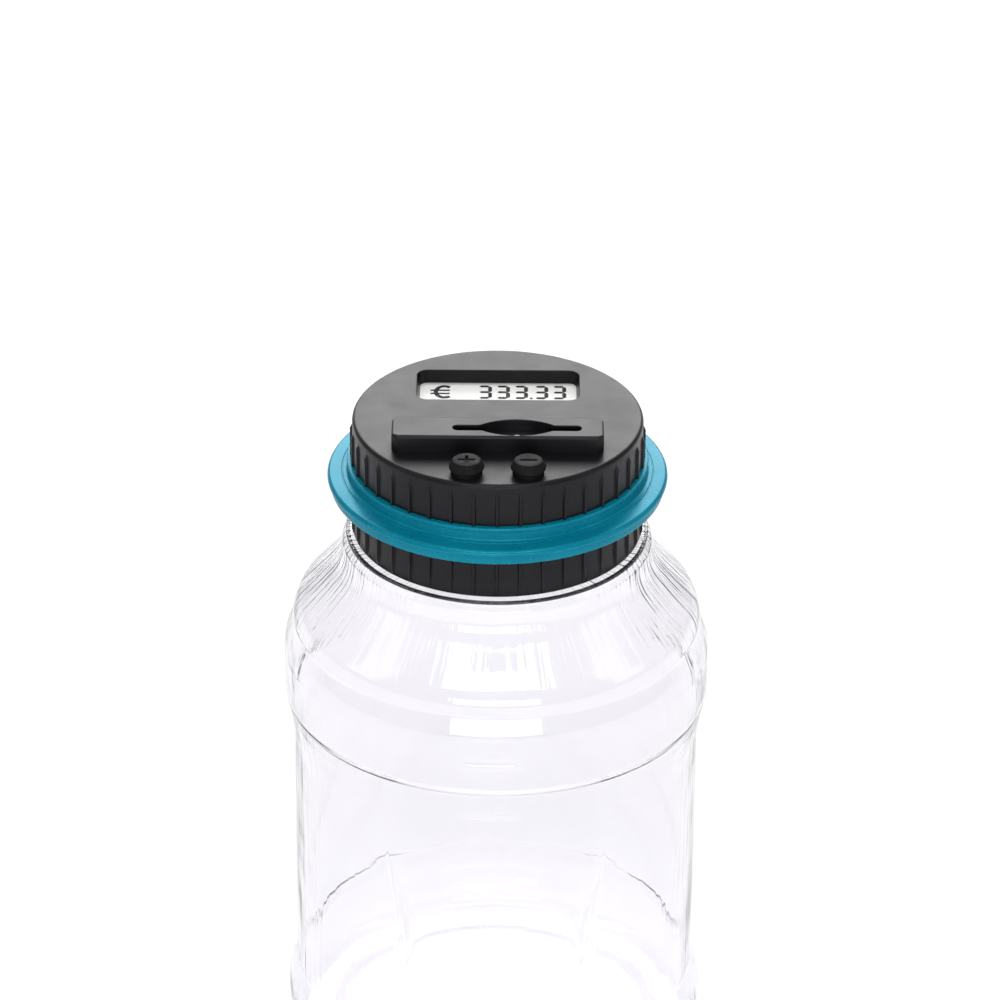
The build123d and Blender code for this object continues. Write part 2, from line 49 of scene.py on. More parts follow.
MERGE = 2e-6  # metres: points closer than this are one point


# ---- shapes ----
def rounded_path(points, radii, step=12):
    """Polyline through (r, z) points, with a round of each radius at the inner ones; step is in degrees."""
    path = [points[0]]
    for before, corner, after, radius in zip(points, points[1:], points[2:], radii):
        here, there = Vector(before) - Vector(corner), Vector(after) - Vector(corner)
        half = here.angle(there) / 2
        if radius <= 0 or math.degrees(half) > 89.5:
            path.append(tuple(corner))
            continue
        reach = radius / math.tan(half)
        first = Vector(corner) + here.normalized() * reach
        inward = (here.normalized() + there.normalized()).normalized()
        centre = Vector(corner) + inward * radius / math.sin(half)
        start = first - centre
        turn = math.pi - 2 * half
        if start.x * here.y - start.y * here.x > 0:
            turn = -turn
        count = max(2, math.ceil(abs(math.degrees(turn)) / step))
        for i in range(count + 1):
            a = turn * i / count
            path.append((centre.x + start.x * math.cos(a) - start.y * math.sin(a),
                         centre.y + start.x * math.sin(a) + start.y * math.cos(a)))
    path.append(points[-1])
    return path


def refined(path, longest):
    """The path with every piece split so that none is longer than longest(z)."""
    out = [path[0]]
    for (r0, z0), (r1, z1) in zip(path, path[1:]):
        length = math.hypot(r1 - r0, z1 - z0)
        count = max(1, math.ceil(length / longest((z0 + z1) / 2)))
        out += [(r0 + (r1 - r0) * i / count, z0 + (z1 - z0) * i / count) for i in range(1, count + 1)]
    return out


def mark_edges(bm, smooth_angle):
    """Smooth shading, except over open edges and edges sharper than smooth_angle degrees."""
    for face in bm.faces:
        face.smooth = True
    for edge in bm.edges:
        edge.smooth = len(edge.link_faces) == 2 and edge.calc_face_angle(0) < math.radians(smooth_angle)


def mesh_object(name, points, faces, smooth_angle=35):
    """New object from points in millimetres, smooth except over edges sharper than smooth_angle degrees."""
    mesh = bpy.data.meshes.new(name)
    mesh.from_pydata([Vector(p) * MM for p in points], [], faces)
    bm = bmesh.new()
    bm.from_mesh(mesh)
    bmesh.ops.remove_doubles(bm, verts=bm.verts, dist=MERGE)
    bmesh.ops.recalc_face_normals(bm, faces=bm.faces)
    mark_edges(bm, smooth_angle)
    bm.to_mesh(mesh)
    bm.free()
    piece = bpy.data.objects.new(name, mesh)
    bpy.context.scene.collection.objects.link(piece)
    return piece


def spun(name, path, angles, shift=None, closed=False, smooth_angle=35):
    """Surface of revolution of an (r, z) path. shift(angles, r, z) gives each column's change of radius."""
    columns = len(angles)
    rows = []
    for r, z in path:
        radius = np.full(columns, float(r))
        if shift is not None:
            radius = radius + shift(angles, r, z)
        rows.append(np.stack([radius * np.cos(angles), radius * np.sin(angles), np.full(columns, z)], 1))
    points = np.concatenate(rows)
    count = len(path)
    faces = []
    for i in range(count if closed else count - 1):
        low, high = i * columns, (i + 1) % count * columns
        for j in range(columns):
            k = (j + 1) % columns
            faces.append((low + j, low + k, high + k, high + j))
    return mesh_object(name, points.tolist(), faces, smooth_angle)


def even_angles(count):
    return np.arange(count) * 2 * math.pi / count


def loft(name, levels, smooth_angle=35):
    """Closed solid through outlines of equal count, one above the other, with flat ends."""
    count = len(levels[0])
    points = [p for level in levels for p in level]
    faces = [tuple(range(count)), tuple(range(len(points) - count, len(points)))]
    for i in range(len(levels) - 1):
        for j in range(count):
            k = (j + 1) % count
            faces.append((i * count + j, i * count + k, (i + 1) * count + k, (i + 1) * count + j))
    return mesh_object(name, points, faces, smooth_angle)


def rounded_rectangle(length, width, radius, x, y, z, per_corner=8):
    points = []
    for corner, (sx, sy) in enumerate(((1, 1), (-1, 1), (-1, -1), (1, -1))):
        for i in range(per_corner + 1):
            a = math.pi / 2 * (corner + i / per_corner)
            points.append((x + sx * (length / 2 - radius) + radius * math.cos(a),
                           y + sy * (width / 2 - radius) + radius * math.sin(a), z))
    return points


def lens_outline(half_length, half_depth, x, y, z, count=24):
    """Two equal arcs that meet in a point at each end."""
    radius = (half_length ** 2 + half_depth ** 2) / (2 * half_depth)
    swing = math.asin(half_length / radius)
    points = []
    for side in (1, -1):
        for i in range(count):
            a = swing * (2 * i / count - 1)
            rise = radius * math.cos(a) - radius + half_depth
            points.append((x - side * radius * math.sin(a), y + side * rise, z))
    return points


def flared(outline, top, bottom, rim, slope=0.0):
    """Levels of a cutter whose mouth is rounded by rim at height top. outline(grow, z) gives one level."""
    levels = [outline(rim + 0.02, top + 1.0)]
    for i in range(5):
        a = math.pi / 2 * i / 4
        levels.append(outline(rim * (1 - math.sin(a)), top - rim * (1 - math.cos(a))))
    levels.append(outline(-slope * (top - rim - bottom), bottom))
    return levels


def combined(target, operation, tool):
    """Joins the tool to the target or cuts it away; the tool is used up."""
    modifier = target.modifiers.new("cut", "BOOLEAN")
    modifier.operation, modifier.solver, modifier.object = operation, "EXACT", tool
    bpy.context.view_layer.update()
    evaluated = target.evaluated_get(bpy.context.evaluated_depsgraph_get())
    mesh = bpy.data.meshes.new_from_object(evaluated)
    target.modifiers.clear()
    target.data = mesh
    bpy.data.objects.remove(tool)


def resharpen(piece, smooth_angle=32):
    """Marks smooth and sharp edges again after cuts."""
    bm = bmesh.new()
    bm.from_mesh(piece.data)
    bmesh.ops.dissolve_degenerate(bm, dist=MERGE, edges=bm.edges)
    mark_edges(bm, smooth_angle)
    bm.to_mesh(piece.data)
    bm.free()


# ---- materials ----
class Finish:
    """A material with patterns made from the piece's own coordinates, in metres."""

    def __init__(self, name, **values):
        self.material = bpy.data.materials.new(name)
        self.material.use_nodes = True
        self.tree = self.material.node_tree
        self.shader = self.tree.nodes["Principled BSDF"]
        self.place = self.add("ShaderNodeTexCoord").outputs["Object"]
        for key, value in values.items():
            self.shader.inputs[key.replace("_", " ")].default_value = value

    def add(self, kind, inputs=(), **settings):
        node = self.tree.nodes.new(kind)
        for key, value in settings.items():
            setattr(node, key, value)
        for key, value in dict(inputs).items():
            if isinstance(value, bpy.types.NodeSocket):
                self.tree.links.new(value, node.inputs[key])
            else:
                node.inputs[key].default_value = value
        return node

    def stretched(self, x, y, z):
        """The coordinates multiplied along each axis, for grain with a direction."""
        inputs = {0: self.place, 1: (x, y, z)}
        return self.add("ShaderNodeVectorMath", inputs, operation="MULTIPLY").outputs[0]

    def noise(self, size, detail=3.0, roughness=0.5, place=None):
        """Soft noise with features of about this size in millimetres."""
        return self.add("ShaderNodeTexNoise", {"Vector": place or self.place, "Scale": 1 / (size * MM),
                                               "Detail": detail, "Roughness": roughness}).outputs["Fac"]

    def cells(self, size):
        """A random colour for each cell of about this size in millimetres."""
        inputs = {"Vector": self.place, "Scale": 1 / (size * MM)}
        return self.add("ShaderNodeTexVoronoi", inputs).outputs["Color"]

    def spread(self, source, low, high, start=0.3, end=0.7):
        """source mapped from start..end to low..high."""
        return self.add("ShaderNodeMapRange", {"Value": source, "From Min": start, "From Max": end,
                                               "To Min": low, "To Max": high}).outputs["Result"]

    def math(self, operation, a, b=0.0):
        return self.add("ShaderNodeMath", {0: a, 1: b}, operation=operation).outputs[0]

    def colours(self, source, *stops):
        ramp = self.add("ShaderNodeValToRGB", {"Fac": source})
        ramp.color_ramp.elements[0].position, ramp.color_ramp.elements[1].position = stops[0][0], stops[-1][0]
        for position, _ in stops[1:-1]:
            ramp.color_ramp.elements.new(position)
        for element, (position, colour) in zip(ramp.color_ramp.elements, stops):
            element.color = (*colour, 1)
        return ramp.outputs["Color"]

    def blended(self, first, second, share=0.65):
        """Two patterns added up, the second with this share."""
        return self.math("ADD", self.math("MULTIPLY", first, round(1 - share, 2)),
                         self.math("MULTIPLY", second, share))

    def mixed(self, factor, first, second):
        """The first colour where factor is 0 and the second where it is 1."""
        return self.add("ShaderNodeMix", {0: factor, 6: first, 7: second}, data_type="RGBA").outputs[2]

    def bump(self, height, depth, after=None):
        """Relief of this depth in millimetres where height goes from 0 to 1."""
        inputs = {"Height": height, "Distance": depth * MM, "Strength": 1.0}
        if after is not None:
            inputs["Normal"] = after
        return self.add("ShaderNodeBump", inputs).outputs["Normal"]

    def drive(self, key, socket):
        self.tree.links.new(socket, self.shader.inputs[key])


def moulded_plastic(name, dark, light, rough, grain=0.35, depth=0.006, **values):
    """Injection-moulded plastic: fine grain, cloudy gloss and a few hairline scuffs."""
    f = Finish(name, **values)
    cloud = f.noise(14, 4)
    speck = f.noise(0.9, 2)
    f.drive("Base Color", f.colours(f.blended(cloud, speck, 0.3), (0.3, dark), (0.7, light)))
    hair = f.noise(0.5, 2, place=f.stretched(0.06, 1, 0.5))
    scuff = f.spread(hair, 0, 1, 0.66, 0.78)
    gloss = f.spread(f.noise(9, 4, 0.6), *rough)
    f.drive("Roughness", f.math("ADD", gloss, f.math("MULTIPLY", scuff, 0.1)))
    fine = f.bump(f.noise(grain, 2), depth)
    f.drive("Normal", f.bump(f.noise(22, 2), 0.05, after=fine))
    return f.material


def metal(name, colour, rough=(0.2, 0.4), along=(1, 0.05, 1)):
    """Drawn or plated metal with fine lines along one axis."""
    f = Finish(name, Metallic=1.0)
    line = f.noise(0.25, 3, place=f.stretched(*along))
    tone = f.noise(3, 3)
    dark = tuple(c * 0.72 for c in colour)
    f.drive("Base Color", f.colours(f.blended(line, tone, 0.6), (0.3, dark), (0.65, colour)))
    f.drive("Roughness", f.spread(line, *rough))
    f.drive("Normal", f.bump(line, 0.006))
    return f.material


def clear_pet():
    """Blow-moulded clear plastic with faint flow lines down from the neck. Lamps shine through it."""
    f = Finish("clear_pet", Base_Color=(0.972, 0.964, 0.984, 1), Transmission_Weight=1.0, IOR=1.5)
    flat = f.add("ShaderNodeVectorMath", {0: f.place, 1: (1, 1, 0)}, operation="MULTIPLY").outputs[0]
    around = f.add("ShaderNodeVectorMath", {0: flat}, operation="NORMALIZE").outputs[0]
    height = f.add("ShaderNodeSeparateXYZ", {0: f.place}).outputs["Z"]
    climb = f.add("ShaderNodeCombineXYZ", {"Z": f.math("MULTIPLY", height, 1.2)}).outputs[0]
    flow = f.add("ShaderNodeVectorMath", {0: around, 1: climb}, operation="ADD").outputs[0]
    streak = f.add("ShaderNodeTexNoise", {"Vector": flow, "Scale": 22.0, "Detail": 2.5,
                                          "Roughness": 0.55}).outputs["Fac"]
    shoulder = f.spread(height, 0.0, 1.0, 0.138, 0.152)
    strength = f.math("ADD", f.math("MULTIPLY", shoulder, 0.85), 0.08)
    ripple = f.bump(f.math("MULTIPLY", streak, strength), 0.36)
    f.drive("Normal", f.bump(f.noise(30, 2), 0.25, after=ripple))
    f.drive("Roughness", f.spread(f.noise(5, 3), 0.005, 0.03))
    ray = f.add("ShaderNodeLightPath").outputs["Is Shadow Ray"]
    open_way = f.add("ShaderNodeBsdfTransparent", {"Color": (0.95, 0.945, 0.96, 1)}).outputs[0]
    both = f.add("ShaderNodeMixShader", {0: ray, 1: f.shader.outputs[0], 2: open_way}).outputs[0]
    f.tree.links.new(both, f.tree.nodes["Material Output"].inputs["Surface"])
    haze = f.add("ShaderNodeVolumeAbsorption", {"Color": (0.86, 0.85, 0.87, 1), "Density": 90.0}).outputs[0]
    f.tree.links.new(haze, f.tree.nodes["Material Output"].inputs["Volume"])
    return f.material


def teal_lacquer():
    """Teal plastic with fine metallic flakes and a thin clear coat."""
    f = Finish("teal_lacquer", Metallic=0.2, Specular_IOR_Level=0.1, Coat_Weight=0.04, Coat_Roughness=0.15)
    flake = f.cells(0.16)
    bright = f.add("ShaderNodeSeparateXYZ", {0: flake}).outputs["X"]
    cloud = f.noise(10, 3)
    f.drive("Base Color", f.colours(f.blended(bright, cloud), (0.25, (0.0, 0.20, 0.30)),
                                    (0.55, (0.002, 0.245, 0.35)), (0.8, (0.005, 0.28, 0.40))))
    f.drive("Roughness", f.spread(f.noise(6, 3), 0.25, 0.31))
    f.drive("Normal", f.bump(bright, 0.004, after=f.bump(f.noise(14, 2), 0.012)))
    return f.material


def grey_rubber():
    """Silicone rubber: matt, with a fine tooth and a little dust."""
    f = Finish("grey_rubber", Specular_IOR_Level=0.14)
    f.drive("Base Color", f.colours(f.noise(1.2, 4), (0.3, (0.005, 0.005, 0.006)),
                                    (0.7, (0.010, 0.010, 0.011))))
    f.drive("Roughness", f.spread(f.noise(2.5, 3), 0.55, 0.7))
    f.drive("Normal", f.bump(f.noise(0.18, 2), 0.012))
    return f.material


def lcd_glass():
    """Display glass: pale grey with the fine grain of its reflector, and a faint painted glow that lifts it
    out of the pocket's shade.
    """
    # The emission is painted light: a glow standing in for the light that the shaded pocket keeps off the
    # panel.
    f = Finish("lcd_glass", Specular_IOR_Level=0.05, Emission_Color=(0.9, 0.9, 0.88, 1),
               Emission_Strength=0.36)
    grain = f.noise(0.12, 2)
    cloud = f.noise(18, 2)
    f.drive("Base Color", f.colours(f.blended(grain, cloud), (0.3, (0.74, 0.74, 0.725)),
                                    (0.7, (0.83, 0.83, 0.815))))
    f.drive("Roughness", f.spread(grain, 0.3, 0.42))
    f.drive("Normal", f.bump(grain, 0.004))
    return f.material


def lcd_ink():
    """A lit display segment: near black, a little uneven."""
    f = Finish("lcd_ink", Specular_IOR_Level=0.0)
    f.drive("Base Color", f.colours(f.noise(0.5, 2), (0.3, (0.008, 0.008, 0.010)),
                                    (0.7, (0.016, 0.016, 0.018))))
    f.drive("Roughness", f.spread(f.noise(0.3, 2), 0.35, 0.5))
    return f.material


def clear_acrylic():
    """Thin polished window that lets light straight through, with very fine hairlines."""
    f = Finish("clear_acrylic", Alpha=0.04, Specular_IOR_Level=0.3)
    hair = f.noise(0.4, 2, place=f.stretched(0.05, 1, 1))
    f.drive("Base Color", f.colours(hair, (0.3, (0.78, 0.80, 0.80)), (0.7, (0.86, 0.87, 0.87))))
    f.drive("Roughness", f.spread(hair, 0.05, 0.12, 0.5, 0.75))
    f.drive("Normal", f.bump(f.noise(12, 2), 0.01))
    return f.material


def board_green():
    """Solder mask over copper tracks, with the glass weave showing faintly."""
    f = Finish("board_green")
    track = f.add("ShaderNodeTexBrick", {"Vector": f.stretched(1, 1, 0), "Scale": 420.0, "Mortar Size": 0.09,
                                         "Color1": (0.0, 0.0, 0.0, 1), "Color2": (0.0, 0.0, 0.0, 1),
                                         "Mortar": (1, 1, 1, 1)}).outputs["Color"]
    weave = f.noise(0.4, 2)
    mask = f.colours(weave, (0.3, (0.010, 0.085, 0.032)), (0.7, (0.016, 0.125, 0.045)))
    f.drive("Base Color", f.mixed(track, mask, (0.05, 0.2, 0.07, 1)))
    f.drive("Roughness", f.spread(weave, 0.25, 0.4))
    f.drive("Normal", f.bump(track, 0.03, after=f.bump(weave, 0.01)))
    return f.material


def cell_jacket():
    """Battery sleeve: a dark shrink film with a copper-coloured band at one end."""
    f = Finish("cell_jacket", Metallic=0.6, Coat_Weight=0.5, Coat_Roughness=0.1)
    along = f.add("ShaderNodeSeparateXYZ", {0: f.place}).outputs["X"]
    band = f.spread(along, 0, 1, 0.0105, 0.0108)
    film = f.colours(f.noise(2, 3), (0.3, (0.012, 0.013, 0.016)), (0.7, (0.024, 0.025, 0.030)))
    copper = f.colours(f.noise(1, 3), (0.3, (0.42, 0.20, 0.08)), (0.7, (0.55, 0.28, 0.12)))
    f.drive("Base Color", f.mixed(band, film, copper))
    f.drive("Roughness", f.spread(f.noise(1.5, 3), 0.22, 0.36))
    f.drive("Normal", f.bump(f.noise(3, 3), 0.03))
    return f.material


def studio_floor():
    f = Finish("studio_floor", Specular_IOR_Level=0.1)
    f.drive("Base Color", f.colours(f.noise(60, 3), (0.3, (0.905, 0.905, 0.91)), (0.7, (0.925, 0.925, 0.93))))
    f.drive("Roughness", f.spread(f.noise(3, 3), 0.75, 0.9))
    f.drive("Normal", f.bump(f.noise(0.8, 3), 0.02))
    return f.material


FINISHES = {
    "clear_pet": clear_pet(),
    "black_abs": moulded_plastic("black_abs", (0.0050, 0.0050, 0.0066), (0.0085, 0.0085, 0.0105),
                                 (0.30, 0.40), grain=0.22, depth=0.0018, Specular_IOR_Level=0.25),
    "teal_lacquer": teal_lacquer(),
    "clear_acrylic": clear_acrylic(),
    "lcd_glass": lcd_glass(),
    "white_plastic": moulded_plastic("white_plastic", (0.62, 0.62, 0.60), (0.70, 0.70, 0.68), (0.35, 0.5)),
    "grey_rubber": grey_rubber(),
    "board_green": board_green(),
    "component_black": moulded_plastic("component_black", (0.012, 0.012, 0.013), (0.03, 0.03, 0.032),
                                       (0.4, 0.6)),
    "gold_plate": metal("gold_plate", (0.86, 0.62, 0.26), (0.18, 0.3)),
    "black_acetal": moulded_plastic("black_acetal", (0.010, 0.010, 0.011), (0.016, 0.016, 0.018),
                                    (0.16, 0.26)),
    "bright_steel": metal("bright_steel", (0.62, 0.62, 0.63), (0.18, 0.34)),
    "spring_steel": metal("spring_steel", (0.50, 0.50, 0.51), (0.25, 0.42)),
    "nickel_plate": metal("nickel_plate", (0.66, 0.64, 0.60), (0.2, 0.36)),
    "cell_jacket": cell_jacket(),
    "wire_red": moulded_plastic("wire_red", (0.40, 0.015, 0.012), (0.52, 0.025, 0.018), (0.35, 0.5)),
    "black_rubber": moulded_plastic("black_rubber", (0.014, 0.014, 0.014), (0.022, 0.022, 0.022),
                                    (0.5, 0.7)),
}
INK = lcd_ink()


def painted(piece, slot_name, material=None):
    piece.data.materials.clear()
    piece.data.materials.append(material or FINISHES[slot_name])


# ---- jar ----
# Outlines are (radius, height), each with the rounds of its inner points.
BODY_RADIUS, BAND_RADIUS, NECK_RADIUS = 57.4, 59.97, 37.4
FOOT = [(0.01, 5.0), (41, 3.0), (49, 0.0), (57.8, 0.0), (BAND_RADIUS, 12.0), (BAND_RADIUS, 17.5),
        (BODY_RADIUS, 24.5), (BODY_RADIUS, 60)]
FOOT_ROUNDS = [20, 2.5, 6, 24, 10, 1.2]
SEAM_Z = 112.3
BAND = [(BODY_RADIUS, 60), (BODY_RADIUS, 101.6), (59.1, SEAM_Z), (BAND_RADIUS, 114.6),
        (BAND_RADIUS, 130.5), (BODY_RADIUS, 136.9)]
BAND_ROUNDS = [40, 0.5, 3, 14]
SHOULDER = [(BODY_RADIUS, 136.9), (BODY_RADIUS, 141.1), (51.4, 147.6), (43.6, 156.5), (43.3, 162.0)]
SHOULDER_ROUNDS = [10, 40, 12]
NECK = [(43.3, 162.0), (42.3, 163.3), (42.3, 164.8), (NECK_RADIUS, 164.8), (NECK_RADIUS, 176.2)]
NECK_ROUNDS = [0.3, 0.35, 0.4]
JAR_WALL = 1.0
FRONT_RIBS = (123.05, 105.5, 83.0, 59.5)
FRONT_RIB_HALF, FRONT_RIB_HEIGHT, FRONT_RIB_SIDE, FRONT_RIB_REACH, FRONT_RIB_FADE = 1.5, 0.32, 1.6, 8.2, 1.6
SEAM_DEPTH, SEAM_WIDTH = 0.3, 0.28
GRIP_AZIMUTH, GRIP_DISTANCE, GRIP_MIDDLE, GRIP_REACH = math.radians(41), 86.0, 60.0, 28.0
GRIP_ARC, GRIP_ARC_INSET = 53.0, 17.0
GRIP_EDGE, GRIP_FADE, GRIP_SMOOTHING = 24.2, 3.6, 60
FRONT = 270  # degrees round from +X to the side that the buttons face
THREAD_START, THREAD_LEAD, THREAD_TURNS = 168.6, 4.233, 1.25
THREAD_DEPTH, THREAD_HALF, THREAD_FLANK, THREAD_RUN_IN = 1.1, 0.75, 0.35, 0.12


def eased(t):
    """0 to 1 with level ends, where t goes from 0 to 1."""
    return t * t * (3 - 2 * t)


def jar_path():
    """The outside of the jar from the middle of its base to its mouth."""
    path = rounded_path(FOOT, FOOT_ROUNDS, 8) + rounded_path(BAND, BAND_ROUNDS, 3)[1:]
    path += rounded_path(SHOULDER, SHOULDER_ROUNDS, 4)[1:] + rounded_path(NECK, NECK_ROUNDS, 20)[1:]

    def longest(z):
        if abs(z - SEAM_Z) < 0.9:
            return 0.12
        if any(abs(z - rib) < 2.2 for rib in FRONT_RIBS):
            return 0.25
        if z > 165.5:
            return 0.3
        return 1.2 if 30 < z < 92 or z > 130 else 1.6
    return refined(path, longest)


def jar_angles():
    """Columns round the jar, closer together at the front edges of the pinch grip."""
    angles, a = [], 0.0
    while a < 360 - 1e-6:
        from_front = abs((a - FRONT + 180) % 360 - 180)
        angles.append(math.radians(a))
        a += 0.375 if 21 < from_front < 33 else 1.5 if from_front > 75 else 0.75
    return np.array(angles)


def grip_depth(angles, r, z):
    """How far the pinch grip dents the wall at one height."""
    up = z - GRIP_MIDDLE
    if abs(up) >= GRIP_REACH:
        return np.zeros(len(angles))
    spindle = math.sqrt(GRIP_ARC ** 2 - up ** 2) - GRIP_ARC_INSET
    x, y = np.cos(angles), np.sin(angles)
    dent = np.zeros(len(angles))
    for side in (-1, 1):
        cx, cy = side * GRIP_DISTANCE * math.sin(GRIP_AZIMUTH), -GRIP_DISTANCE * math.cos(GRIP_AZIMUTH)
        along = x * cx + y * cy
        inside = along ** 2 - GRIP_DISTANCE ** 2 + spindle ** 2
        wall = along - np.sqrt(np.clip(inside, 0, None))
        depth = np.where((inside > 0) & (along > 0), np.clip(r - wall, 0, None), 0)
        dent += depth * eased(np.clip((side * x * r - GRIP_EDGE) / GRIP_FADE, 0, 1))
    return dent


def smoothed(field, rounds):
    """Averages a grid of values with its neighbours, round the jar and up it."""
    for _ in range(rounds):
        field = (np.roll(field, 1, 1) + 2 * field + np.roll(field, -1, 1)) / 4
        padded = np.pad(field, ((1, 1), (0, 0)), mode="edge")
        field = (padded[:-2] + 2 * field + padded[2:]) / 4
    return field


def thread_height(angles, z, start):
    """Height of a one-start thread over its root at one level, where start is its lower end's level."""
    total = np.zeros(len(angles))
    for turn in range(-1, 3):
        run = angles + 2 * math.pi * turn
        middle = start + THREAD_LEAD * run / (2 * math.pi)
        left = THREAD_TURNS * 2 * math.pi - run
        on = np.clip(np.minimum(run / THREAD_RUN_IN, left / THREAD_RUN_IN), 0, 1)
        total += THREAD_DEPTH * on * np.clip((THREAD_HALF - np.abs(z - middle)) / THREAD_FLANK, 0, 1)
    return total


def jar_relief(path, angles):
    """Change of radius over the whole jar: pinch grip, front ribs and neck thread."""
    relief = -smoothed(np.array([grip_depth(angles, r, z) for r, z in path]), GRIP_SMOOTHING)
    from_front = (np.degrees(angles) - FRONT + 180) % 360 - 180
    for row, (r, z) in enumerate(path):
        for middle in FRONT_RIBS:
            if abs(z - middle) < FRONT_RIB_HALF:
                profile = FRONT_RIB_HEIGHT * math.cos(math.pi / 2 * (z - middle) / FRONT_RIB_HALF) ** 2
                ends = (FRONT_RIB_REACH - np.abs(from_front + FRONT_RIB_SIDE)) / FRONT_RIB_FADE
                relief[row] += profile * eased(np.clip(ends, 0, 1))
        relief[row] -= SEAM_DEPTH * math.exp(-((z - SEAM_Z) / SEAM_WIDTH) ** 2)
        if r < NECK_RADIUS + 0.2 and z > 165.5:
            relief[row] += thread_height(angles, z, THREAD_START)
    return relief


def make_jar():
    path, angles = jar_path(), jar_angles()
    rows = iter(jar_relief(path, angles))
    jar = spun("jar_shell", path, angles, lambda a, r, z: next(rows), smooth_angle=50)
    wall = jar.modifiers.new("wall", "SOLIDIFY")
    wall.thickness, wall.offset, wall.use_even_offset = JAR_WALL * MM, -1, True
    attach(jar, "jar")
    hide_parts("jar_body")
    painted(jar, "clear_pet")


# ---- lid ----
RIB_COUNT, LID_RADIUS, RIB_RADIUS, RIB_HALF = 40, 40.4, 41.05, 0.48
LID_TOP, RING_TOP, COLLAR_LOW, COLLAR_TOP, COLLAR_INSIDE = 200.0, 187.5, 165.1, 178.8, 38.8
BAR_TOP, BAR_LENGTH, BAR_WIDTH, BAR_ROUND, BAR_Y = 205.0, 58.2, 11.6, 2.0, -15.7
WINDOW_LENGTH, WINDOW_WIDTH, WINDOW_ROUND, WINDOW_LOW, WINDOW_Y = 45.5, 17.6, 3.2, 196.35, 18.55
WINDOW_SLOPE = math.tan(math.radians(13))
SLOT_LENGTH, SLOT_WIDTH, SLOT_ROUND, SLOT_X, SLOT_Y = 35.3, 2.9, 1.44, 5.3, -16.3
SCOOP_HALF_LENGTH, SCOOP_HALF_WIDTH, SCOOP_DEPTH, SCOOP_Y = 11.75, 4.6, 4.9, -16.1
BUTTON_X, BUTTON_Y, BUTTON_TOP, BUTTON_HOLE_RADIUS = 8.4, -33.0, 204.1, 4.2


def rib_angles():
    """Columns close together on and beside each rib, and sparse between them."""
    pitch = 2 * math.pi / RIB_COUNT
    width = RIB_HALF / RIB_RADIUS
    offsets = [width * s for s in (-1.75, -1.25, -1.1, -0.95, -0.75, -0.4, 0.4, 0.75, 0.95, 1.1, 1.25, 1.75)]
    gap = pitch - 2 * width * 1.75
    offsets += [width * 1.75 + gap * i / 5 for i in range(1, 5)]
    start = -math.pi / 2
    return np.array([start + pitch * i + o for i in range(RIB_COUNT) for o in offsets])


def rib_shift(low, high, rounded_low, rounded_high):
    """Change of radius for upright ribs between two heights, with rounded shoulders and ends."""
    def shift(angles, r, z):
        pitch = 2 * math.pi / RIB_COUNT
        away = np.abs((angles + math.pi / 2 + pitch / 2) % pitch - pitch / 2) * RIB_RADIUS
        cut = np.zeros(len(angles))
        if rounded_high and z > high - RIB_HALF:
            cut = np.full(len(angles), z - (high - RIB_HALF))
        if rounded_low and z < low + RIB_HALF:
            cut = np.full(len(angles), low + RIB_HALF - z)
        reach = np.hypot(away, cut)
        if r < LID_RADIUS - 0.01 or not low - 0.3 <= z <= high + 0.3:
            return np.zeros(len(angles))
        height = np.clip((RIB_HALF * 1.2 - reach) / (RIB_HALF * 0.5), 0, 1)
        return (RIB_RADIUS - LID_RADIUS) * eased(height)
    return shift


